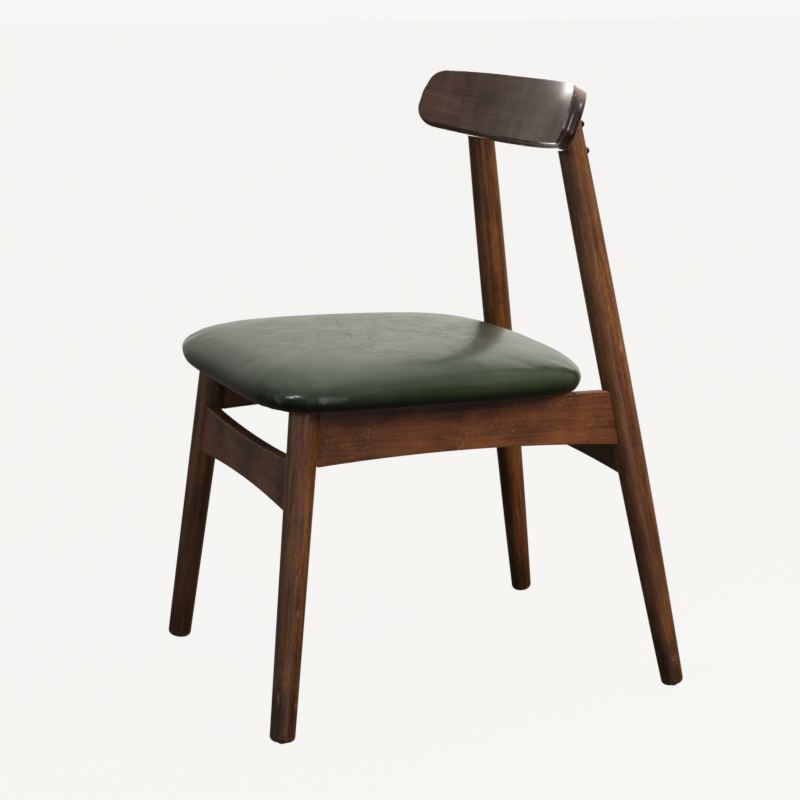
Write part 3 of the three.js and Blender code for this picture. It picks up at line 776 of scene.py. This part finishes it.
def panel_edge_profile():
    """The edge from the front face to the back face: rows of inset, inset along the top, back and wear."""
    half = PANEL["thickness"] / 2
    arris = PANEL_BULGE + 1.6
    step = PANEL_LIP - half
    profile = [(arris + 3, 4.5, -half, 0), (arris + 0.7, 1.6, -half, 0.1)]
    profile += [(arris + 0.2, 0.9, 0.08 - half, 0.5), (arris - 0.05, 0.5, 0.35 - half, 0.5)]
    profile += [(arris - 0.4, 0.12, 1.0 - half, 0.1)]
    profile += [(PANEL_BULGE + 0.5, 0.1, step - 0.5, 0.1), (PANEL_BULGE + 0.35, 0.15, step - 0.12, 0.5)]
    profile += [(PANEL_BULGE + 0.5, 0.2, step + 0.1, 0.0), (PANEL_BULGE + 0.15, 0.25, step + 0.3, 0.0)]
    middle, reach = (step + half) / 2 + 0.1, (half - step) / 2 - 0.3
    for turn in np.radians(np.linspace(-82, 82, 21)):
        back = middle + reach * math.sin(turn)
        profile.append((PANEL_BULGE * (1 - math.cos(turn)), 0.2 * (back + half), back, 0.0))
    profile += [(PANEL_BULGE, 4.2, half - 0.12, 0.4), (PANEL_BULGE + 0.5, 4.8, half, 0.3)]
    return profile + [(PANEL_BULGE + 3, 7.5, half, 0)]


def bent(flat, back):
    """Points of the bent board, from (along, up) points at one distance behind its middle surface."""
    angle = flat[..., 0] / PANEL["bend"]
    radius = PANEL["bend"] + back
    return np.stack([radius * np.sin(angle), radius * np.cos(angle) - PANEL["bend"], flat[..., 1]], axis=-1)


def make_panel(material, seed):
    outline = panel_outline()
    count = len(outline)
    tangent = np.roll(outline, -1, 0) - np.roll(outline, 1, 0)
    tangent /= np.linalg.norm(tangent, axis=1)[:, None]
    inward = np.column_stack([-tangent[:, 1], tangent[:, 0]])
    square = smooth_step(-inward[:, 1], 0.45, 0.9)
    profile = panel_edge_profile()
    layers = []  # (along, up) points, their distance behind the middle surface, and their wear
    for rounded, along_top, back, worn in profile:
        inset = rounded + (along_top - rounded) * square
        layers.append((outline + inward * inset[:, None], back, worn * (1 - 0.6 * square)))
    faces = band(len(profile), count)
    start = len(profile) * count
    wide = PANEL_COLUMNS + 1
    for flat, back, _ in (layers[0], layers[-1]):
        grid = filled(flat).reshape(-1, 2)
        layers.append((grid, back, np.zeros(len(grid))))
        for row in range(PANEL_ROWS):
            for a in range(start + row * wide, start + row * wide + PANEL_COLUMNS):
                faces.append((a, a + 1, a + 1 + wide, a + wide))
        start += len(grid)
    points = np.vstack([bent(flat, back) for flat, back, _ in layers])
    grain = np.vstack([np.column_stack([flat, np.full(len(flat), back)]) for flat, back, _ in layers])
    grain += (410 * seed, 90 * seed, 60 * seed)
    # Painted shade: the bulging edges at the panel's two ends are darkened.
    soak = np.zeros(len(grain))
    rim = len(profile) - 2
    soak[count:(rim + 1) * count] = np.tile(1.2 * smooth_step(np.abs(inward[:, 0]), 0.5, 0.9), rim)
    wear = np.concatenate([worn for _, _, worn in layers])
    return add_detail("back_panel", "stained_wood", points, faces, material, PANEL_FRAME, grain,
                      wear=wear, soak=soak)


# ---- Seat ----


def squared(value, squareness):
    return np.sign(value) * np.abs(value) ** (2 / squareness)


def seat_outline(count):
    """The seat's bowed and rounded outline about its own middle."""
    across, along = circle(2000).T
    across, along = squared(across, SEAT_SQUARENESS[0]), squared(along, SEAT_SQUARENESS[1])
    loop = np.column_stack([across * (SEAT_HALF_WIDTH + SEAT_TAPER * along), along * SEAT_HALF_LENGTH])
    return spread(np.vstack([loop, loop[:1]]), count)


def seat_ring(outline, inset, height, drop=0.0):
    """The outline moved inward, at a height above the seat's underside, lower at the corners."""
    scale = 1 - inset / SEAT_HALF_WIDTH
    corner = (outline[:, 0] * outline[:, 1] / (SEAT_HALF_WIDTH * SEAT_HALF_LENGTH)) ** 2
    z = height * (1 - drop * corner * scale**4)
    return np.column_stack([outline[:, 0] * scale, SEAT_CENTRE_Y + outline[:, 1] * scale, z])


def cushion_rings(outline):
    """Rings of the cushion from its underside over the rolled edge to the crown."""
    rings = [seat_ring(outline, inset, SEAT_BOTTOM) for inset in np.linspace(210, EDGE_TUCK + TRIM + 4, 16)]
    low = SEAT_BOTTOM + 0.3 * TRIM
    for turn in np.radians(np.linspace(90, 0, 12)):
        height = low + (EDGE_HEIGHT - low) * (1 - math.sin(turn))
        rings.append(seat_ring(outline, TRIM + EDGE_TUCK * (1 - math.cos(turn)), height, CORNER_DROP))
    for turn in np.linspace(0, math.pi / 2, 40)[1:]:
        reach = math.cos(turn) * 0.998 + 0.002
        rise = (1 - reach**DOME_FULLNESS) ** (1 / DOME_SHOULDER)
        inset = TRIM + (SEAT_HALF_WIDTH - TRIM) * (1 - reach)
        height = EDGE_HEIGHT + (CROWN_HEIGHT - TRIM - EDGE_HEIGHT) * rise
        rings.append(seat_ring(outline, inset, height, CORNER_DROP))
    return np.array(rings)


def applied(piece):
    """Replaces a piece's mesh by what its modifiers make of it."""
    bpy.context.view_layer.update()
    evaluated = piece.evaluated_get(bpy.context.evaluated_depsgraph_get())
    mesh = bpy.data.meshes.new_from_object(evaluated)
    piece.modifiers.clear()
    piece.data = mesh


def read_vertices(mesh, what):
    """An array of a mesh's vertex places or normals, as it stores them."""
    found = np.empty(len(mesh.vertices) * 3, np.float32)
    mesh.vertices.foreach_get(what, found)
    return found.reshape(-1, 3).astype(float)


def coordinates(mesh):
    return read_vertices(mesh, "co") / MM


def set_coordinates(mesh, points):
    mesh.vertices.foreach_set("co", (points * MM).astype(np.float32).ravel())
    mesh.update()


def inflate(piece):
    """Swells the cushion by cloth pressure with its underside held, and applies the result."""
    before = coordinates(piece.data)
    held = piece.vertex_groups.new(name="held")
    held.add(np.flatnonzero(before[:, 2] < SEAT_BOTTOM + 1.5).tolist(), 1.0, "REPLACE")
    cloth = piece.modifiers.new("cloth", "CLOTH")
    settings = cloth.settings
    settings.quality = 6
    settings.mass = 0.4
    settings.tension_stiffness = 18
    settings.compression_stiffness = 18
    settings.bending_stiffness = 2
    settings.use_pressure = True
    settings.uniform_pressure_force = PRESSURE
    settings.effector_weights.gravity = 0
    settings.vertex_group_mass = "held"
    cloth.point_cache.frame_end = SIMULATION_FRAMES
    for step in range(1, SIMULATION_FRAMES + 1):
        bpy.context.scene.frame_set(step)
    applied(piece)
    bpy.context.scene.frame_set(1)
    shift = coordinates(piece.data) - before
    distance = np.linalg.norm(shift, axis=1)
    shift *= (PUFF * np.tanh(distance / PUFF) / np.maximum(distance, 1e-6))[:, None]
    set_coordinates(piece.data, before + shift)


def refitted(points, outline):
    """Pulls the cushion's rim back out to its outline in every direction, and leaves the middle alone."""
    turn = 2 * math.pi
    flat = points[:, :2] - (0, SEAT_CENTRE_Y)
    angle = np.arctan2(flat[:, 1], flat[:, 0])
    outline_angle = np.arctan2(outline[:, 1], outline[:, 0])
    reach = np.interp(angle, outline_angle, np.linalg.norm(outline, axis=1), period=turn)
    share = np.linalg.norm(flat, axis=1) / reach
    sector = ((angle / turn + 0.5) * SECTORS).astype(int) % SECTORS
    filled_to = np.zeros(SECTORS)
    np.maximum.at(filled_to, sector, share)
    filled_to = (np.roll(filled_to, 1) + filled_to + np.roll(filled_to, -1)) / 3
    sector_angle = ((np.arange(SECTORS) + 0.5) / SECTORS - 0.5) * turn
    missing = np.interp(angle, sector_angle, 1 / filled_to, period=turn) - 1
    flat = flat * (1 + missing * smooth_step(share, 0.55, 0.95))[:, None]
    return np.column_stack([flat + (0, SEAT_CENTRE_Y), points[:, 2]])


def seat_creases(points):
    """Height of the broad creases that sitting leaves in the leather, in millimetres."""
    x, y = points[:, 0], points[:, 1] - SEAT_CENTRE_Y
    used = smooth_step(np.hypot(x / 190, y / 195), 1.0, 0.55)
    warp = 16 * noise_at(points, 55, 3.1)
    cells = np.column_stack([(x + warp) / CREASE_CELL[0], (y + 0.8 * warp) / CREASE_CELL[1], 0 * x])
    nearest = np.array([noise.voronoi(Vector(place))[0][:2] for place in cells])
    groove = smooth_step(nearest[:, 1] - nearest[:, 0], 0.16, 0.0)
    strength = smooth_step(noise_at(points, 80, 7.7), -0.25, 0.35)
    return -CREASE_DEPTH * groove * strength * used


def corner_pleats(points):
    """Small radial gathers in the rolled edge at the four corners."""
    x, y = points[:, 0] / SEAT_HALF_WIDTH, (points[:, 1] - SEAT_CENTRE_Y) / SEAT_HALF_LENGTH
    near_corner = smooth_step(np.abs(x * y), 0.5, 0.8)
    low = smooth_step(points[:, 2], 26, 12)
    turn = np.arctan2(np.abs(y) - 0.55, np.abs(x) - 0.55)
    return PLEAT_DEPTH * near_corner * low * np.sin(turn * 26 + 2.2 * noise_at(points, 30, 5.5))


def make_cushion(material):
    """The foam pad in its leather, swollen and then creased."""
    outline = seat_outline(160)
    piece = new_piece("seat_cushion", *skin(cushion_rings(outline)), material)
    remesh = piece.modifiers.new("remesh", "REMESH")
    remesh.mode = "VOXEL"
    remesh.voxel_size = VOXEL * MM
    applied(piece)
    inflate(piece)
    smooth = piece.modifiers.new("smooth", "SMOOTH")
    smooth.factor = 0.5
    smooth.iterations = 4
    piece.modifiers.new("subdivision", "SUBSURF").levels = 1
    applied(piece)

    mesh = piece.data
    points = coordinates(mesh)
    on_top = smooth_step(points[:, 2], 24, 40)
    height = seat_creases(points) * on_top + corner_pleats(points)
    points = refitted(points, outline) + read_vertices(mesh, "normal") * height[:, None]
    points[:, 2] = np.maximum(points[:, 2], SEAT_BOTTOM)
    set_coordinates(mesh, points)

    x, y, z = points[:, 0], points[:, 1] - SEAT_CENTRE_Y, points[:, 2]
    add_shades(mesh, {
        "wear": smooth_step(np.hypot(x / 205, y / 210), 1.05, 0.6) * on_top,
        # Painted shade where the cover turns under, darker towards the bottom.
        "painted_underside_shade": 0.85 * smooth_step(z, 21, 9),
        "rim": smooth_step(z, 3.0, 1.2) * smooth_step(-y, 60, 140),
    })
    mesh.transform(SEAT_FRAME)
    mesh.shade_smooth()
    place_in_chair(piece, "green_leather", "seat_cover", "seat_foam")


def make_dust_cover(material):
    """Thin cloth stapled under the seat, sagging a little in the middle."""
    loop = seat_outline(120) * (1 - DUST_COVER_INSET / SEAT_HALF_WIDTH)
    ripple = np.sin(np.arange(len(loop)) * math.pi / 2)
    rings = []
    for share in np.linspace(1, 0.02, 30):
        gather = 0.125 * smooth_step(share, 0.9, 1.0) * ripple
        z = 0.1 - DUST_COVER_SAG * (1 - share**4) + gather
        rings.append(np.column_stack([loop * share + (0, SEAT_CENTRE_Y), z]))
    rings = np.array(rings)
    body = np.concatenate([rings[::-1] + (0, 0, DUST_COVER_THICKNESS), rings])
    piece = new_piece("dust_cover_cloth", *skin(body), material, SEAT_FRAME)
    place_in_chair(piece, "black_cloth", "dust_cover")


# ---- Screws and brackets ----


def make_screw(node, screw, length, matrix, material, slot):
    """A round-headed screw with a slot, head up along its own Z axis."""
    radius, height = screw["head"]
    shank = screw["shank"]
    slot_floor = 0.55 * height
    profile = [(0.2, -length), (shank * 0.7, 3 - length), (shank, 5 - length), (shank, -0.1)]
    profile += [(radius - 0.3, -0.1), (radius, 0.15)]
    for turn in np.radians(range(8, 88, 8)):
        profile.append((radius * math.cos(turn), 0.2 + (height - 0.2) * math.sin(turn)))
    profile += [(radius * share, height) for share in (0.1, 0.06)]
    rings = turned(profile, 64)
    y, z = rings[..., 1], rings[..., 2]
    z[(np.abs(y) < 0.13 * radius) & (z > slot_floor)] = slot_floor
    add_detail(node, slot, *skin(rings), material, matrix)


def aimed(position, direction, turn=0.0):
    """The matrix of a piece whose Z axis points along a direction."""
    rotation = Vector((0, 0, 1)).rotation_difference(Vector(direction).normalized()).to_matrix().to_4x4()
    return Matrix.Translation(Vector(position) * MM) @ rotation @ Matrix.Rotation(turn, 4, "Z")


def make_back_screws(legs, material):
    for name, side in SIDES.items():
        leg = legs["rear", name]
        top_radius = leg.size["radii"][-1][1]
        for level, (z, length) in BACK_SCREWS.items():
            crossing = leg.point(z)
            angle = crossing.x / PANEL["bend"]
            headward = PANEL_FRAME.to_3x3() @ Vector((math.sin(angle), math.cos(angle), 0))
            reach = top_radius / math.sqrt(1 - headward.dot(leg.axis) ** 2) - BACK_SCREW_SUNK
            matrix = aimed(crossing + headward * reach, headward, turn=0.7 + z + side)
            make_screw(f"back_screw_{level}_{name}", BACK_SCREW, length, matrix, material, "dark_steel")


def bracket_rings(corner, inboard, flange):
    """Rings of a folded strip with rounded ends, from its foot's end round the bend to its flange's end."""
    bend, thick, ease = BRACKET["bend"], BRACKET["thickness"], BRACKET_EASING
    centre = corner + (inboard + flange) * bend
    path = [corner + inboard * reach for reach in np.linspace(BRACKET["foot"], bend, 24)]
    for turn in np.radians((15, 30, 45, 60, 75)):
        path.append(centre - (flange * math.cos(turn) + inboard * math.sin(turn)) * bend)
    path += [corner + flange * reach for reach in np.linspace(bend, BRACKET["upright"], 24)]
    path = np.array(path)
    tangent = np.gradient(path, axis=0)
    tangent /= np.linalg.norm(tangent, axis=1)[:, None]
    across = np.array([0.0, 1.0, 0.0])
    inner = np.cross(tangent, across)
    inner *= np.sign(inner @ np.array(inboard + flange))[:, None]
    along = lengths_along(path)
    near_end = np.clip(BRACKET["corner"] - np.minimum(along, along[-1] - along), 0, BRACKET["corner"])
    half_width = BRACKET["width"] / 2 - BRACKET["corner"] + np.sqrt(BRACKET["corner"] ** 2 - near_end**2)
    section = [(-1, ease), (-1, thick - ease), (-0.98, thick), (0, thick), (0.98, thick)]
    section += [(1, thick - ease), (1, ease), (0.98, 0), (0, 0), (-0.98, 0)]
    return np.array([
        [middle + across * half * wide + inward * depth for wide, depth in section]
        for middle, half, inward in zip(path, half_width, inner)
    ])


def make_bracket(name, side, y, material):
    """A folded steel strip, with one flange on the rail and one under the seat, and its two screws."""
    roll = math.radians(SIDE_RAIL["roll"])
    half_depth = SIDE_RAIL["depth"] / 2 + SIDE_RAIL["below"]
    inner_face = SIDE_RAIL["x"] - half_depth * math.sin(roll) - RAIL_THICKNESS / 2 / math.cos(roll)
    corner = Vector((side * (inner_face - CLEARANCE), y, -CLEARANCE))
    flange = Vector((side * math.sin(roll), 0, -math.cos(roll)))
    inboard = Vector((-side, 0, 0))
    rings = bracket_rings(corner, inboard, flange)
    add_detail(f"bracket_{name}", "zinc_steel", *skin(rings), material, SEAT_FRAME)

    square_in = Vector((-side * math.cos(roll), 0, -math.sin(roll)))
    holes = {
        "rail": (flange * BRACKET["upright"], square_in),
        "base": (inboard * BRACKET["foot"], Vector((0, 0, -1))),
    }
    for part, (reach, direction) in holes.items():
        head = corner + reach * BRACKET["hole_at"] + direction * (BRACKET["thickness"] + CLEARANCE)
        matrix = SEAT_FRAME @ aimed(head, direction, turn=len(name) * 0.7)
        node = f"screw_{part}_{name}"
        make_screw(node, BRACKET_SCREW, BRACKET_SCREW_LENGTH, matrix, material, "zinc_steel")


# ---- Stage ----

CAMERA_TARGET = (0, -0.02378, 0.37252)
CAMERA_PLACE = (67.206, 12.227, 2.72584)  # degrees round the chair, degrees up, and distance in metres
CAMERA_LENS = 90.29
LIGHTS_TARGET = (0, 0, 0.45)

PALE = rgb(0.930, 0.922, 0.905)
FLOOR_GLOW = 0.965
FLOOR_MATT = 0.02  # the little of the floor that takes shadows
BACKDROP = (-0.75, 0.66)  # towards the bright wall behind the chair
GLARE = (-0.985, 0.17, -0.01)  # towards the bright strip low on the wall, that the back panel mirrors


def stand(name, data, target, place):
    """Adds a camera or lamp aimed at a target. Its place is degrees round, degrees up and distance.

    0 degrees is ahead of the chair and 90 on its left.
    """
    azimuth, elevation, distance = place
    a, e = math.radians(azimuth), math.radians(elevation)
    back = Vector((math.sin(a) * math.cos(e), -math.cos(a) * math.cos(e), math.sin(e)))
    thing = bpy.data.objects.new(name, data)
    thing.location = Vector(target) + back * distance
    thing.rotation_mode = "QUATERNION"
    thing.rotation_quaternion = (-back).to_track_quat("-Z", "Y")
    bpy.context.scene.collection.objects.link(thing)
    return thing


def make_camera():
    data = bpy.data.cameras.new("camera")
    data.lens = CAMERA_LENS
    bpy.context.scene.camera = stand("camera", data, CAMERA_TARGET, CAMERA_PLACE)


def make_floor():
    """A plain pale floor that shows a soft shadow, and nothing from below."""
    bpy.ops.mesh.primitive_plane_add(size=60)
    floor = bpy.context.object
    floor.name = "floor"
    n = Nodes(bpy.data.materials.new("pale_floor"))
    glow = n.add("Emission", {"Color": PALE, "Strength": FLOOR_GLOW})
    matt = n.add("BsdfDiffuse", {"Color": grey(FLOOR_MATT)})
    both = n.add("AddShader", {0: glow, 1: matt})
    from_below = n.add("NewGeometry", output="Backfacing")
    shown = n.add("MixShader", {0: from_below, 1: both, 2: n.add("BsdfTransparent")})
    floor.data.materials.append(n.show(shown))
    floor.visible_diffuse = False
    floor.visible_glossy = False


def make_world():
    """Pale to the camera. It lights the chair from a bright wall behind it, and is dim elsewhere."""
    n = Nodes(bpy.data.worlds.new("studio"))
    direction = n.add("TexCoord", output="Generated")
    x, y, z = n.node("SeparateXYZ", {0: direction}).outputs
    height = n.remap(z, -1, 1)
    room = n.ramp(height, [
        (0.0, rgb(0.030, 0.022, 0.017)),
        (0.46, rgb(0.050, 0.038, 0.030)),
        (0.56, rgb(0.17, 0.16, 0.15)),
        (0.78, rgb(0.21, 0.21, 0.20)),
        (1.0, rgb(0.50, 0.51, 0.48)),
    ])
    toward = n.plus(n.times(x, BACKDROP[0]), n.times(y, BACKDROP[1]))
    level = n.math("SQRT", n.minus(1.0, n.times(z, z), clamp=True))
    across = n.ramp(n.math("DIVIDE", toward, n.math("MAXIMUM", level, 0.05)), [
        (0.10, rgb(0.04, 0.04, 0.035)),
        (0.45, rgb(0.22, 0.22, 0.19)),
        (0.80, rgb(0.42, 0.42, 0.36)),
        (0.93, rgb(0.78, 0.78, 0.68)),
        (0.98, rgb(1.05, 1.04, 0.91)),
    ])
    upward = n.ramp(height, [
        (0.38, grey(0.15)), (0.44, grey(0.7)), (0.60, grey(0.85)), (0.72, grey(1.0)), (0.98, grey(0.75)),
    ])
    sky = n.mix(1.0, room, n.mix(1.0, across, upward, "MULTIPLY"), "ADD")
    facing = n.add("VectorMath", {0: direction, 1: GLARE}, "Value", operation="DOT_PRODUCT")
    glare = n.ramp(facing, [
        (0.955, grey(0.0)),
        (0.985, rgb(0.25, 0.24, 0.23)),
        (0.998, rgb(0.40, 0.39, 0.37)),
    ])
    low = n.remap(height, 0.51, 0.535, 1.0, 0.0)
    sky = n.mix(1.0, sky, n.mix(low, grey(0), glare), "ADD")
    to_camera = n.add("LightPath", output="Is Camera Ray")
    lighting, seen = (n.add("Background", {"Color": colour}) for colour in (sky, PALE))
    shown = n.add("MixShader", {0: to_camera, 1: lighting, 2: seen})
    bpy.context.scene.world = n.show(shown, "OutputWorld")


def make_softbox(name, place, size, power, colour, mirrored=True):
    """A softbox aimed at the chair."""
    data = bpy.data.lights.new(name, "AREA")
    data.shape = "RECTANGLE"
    data.size, data.size_y = size
    data.energy = power
    data.color = colour
    light = stand(name, data, LIGHTS_TARGET, place)
    light.visible_camera = False
    light.visible_glossy = mirrored
    return light


def make_lights():
    make_softbox("warm_side", (128, 32, 2.2), (1.2, 1.2), 72, (1.0, 0.84, 0.62), mirrored=False)
    make_softbox("front_key", (28, 25, 2.4), (0.5, 0.4), 13, (0.96, 0.98, 1.0))
    make_softbox("low_fill", (84, -4, 2.6), (0.8, 1.5), 8, (0.95, 0.86, 0.92))
    make_softbox("cool_strip", (-6, -8, 2.4), (0.22, 1.5), 3, (0.80, 0.90, 1.0))
    make_softbox("overhead", (40, 80, 2.2), (1.4, 1.4), 20, (1.0, 0.99, 0.96), mirrored=False)


def make_panel_glints(panel):
    """Small lamps that only the back panel mirrors: two low on the wall and one over its near end."""
    lit = bpy.data.collections.new("lit_by_panel_glints")
    lit.objects.link(panel)
    for glint in (
        make_softbox("wall_glint", (-113, 17, 1.55), (0.76, 0.34), 4.2, (1.0, 0.98, 0.95)),
        make_softbox("low_glint", (-113, -10, 1.3), (0.50, 0.30), 1.6, (1.0, 0.97, 0.94)),
        make_softbox("end_glint", (135, 50, 1.6), (0.30, 0.30), 6.0, (0.88, 0.92, 1.0)),
    ):
        glint.light_linking.receiver_collection = lit


# ---- The chair ----


def make_chair():
    leg_wood = stained_walnut(
        "walnut_legs", rgb(0.024, 0.009, 0.004), rgb(0.084, 0.031, 0.010), rgb(0.20, 0.084, 0.021),
        mottle=0.03, coat=0.15, roughness=0.48,
    )
    rail_wood = stained_walnut(
        "walnut_rails", rgb(0.036, 0.012, 0.006), rgb(0.088, 0.030, 0.012), rgb(0.135, 0.047, 0.016),
        flecks=0.8, mottle=0.12, coat=0.1, roughness=0.55,
    )
    panel_wood = stained_walnut(
        "walnut_panel", rgb(0.034, 0.013, 0.010), rgb(0.070, 0.029, 0.021), rgb(0.12, 0.052, 0.036),
        figure=0.07, coat=0.6, roughness=0.36, coat_roughness=0.19,
    )
    zinc = metal("zinc_plate", rgb(0.55, 0.56, 0.57), rgb(0.32, 0.32, 0.31), 0.34)
    dark_steel = metal("dark_steel_plate", rgb(0.05, 0.04, 0.036), rgb(0.12, 0.09, 0.07), 0.38)

    legs = {}
    for number, (name, side) in enumerate(SIDES.items()):
        front = make_leg(f"front_leg_{name}", FRONT_LEG, side, seat_plane_cut, leg_wood, 1.3 + number)
        rear = make_leg(f"rear_leg_{name}", REAR_LEG, side, back_panel_cut, leg_wood, 3.7 + number)
        legs["front", name], legs["rear", name] = front, rear
        make_glide(f"glide_front_{name}", front, zinc)
        make_glide(f"glide_rear_{name}", rear, zinc)
        make_side_rail(f"side_rail_{name}", side, (front, rear), rail_wood, 5.2 + number)
        for end, y in BRACKET_Y.items():
            make_bracket(f"{end}_{name}", side, y, zinc)
    for end, seed in (("front", 8.1), ("rear", 9.4)):
        left, right = legs[end, "left"], legs[end, "right"]
        make_cross_rail(f"{end}_rail", CROSS_RAIL_Z[end], left, right, rail_wood, seed)
    make_panel_glints(make_panel(panel_wood, 10.6))
    make_back_screws(legs, dark_steel)
    make_cushion(green_leather())
    make_dust_cover(black_cloth())

    beech = bare_wood("bare_beech", rgb(0.55, 0.36, 0.19), rgb(0.42, 0.25, 0.12), (90, 90, 400))
    plywood = bare_wood("birch_plywood", rgb(0.52, 0.36, 0.20), rgb(0.36, 0.23, 0.12), (40, 300, 900))
    for name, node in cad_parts.items():
        if name.startswith("dowel_"):
            node.material_slots[0].material = beech
        elif name == "seat_base":
            node.material_slots[0].material = plywood


make_camera()
make_world()
make_lights()
make_floor()
make_chair()
bpy.context.scene.view_settings.view_transform = "Standard"
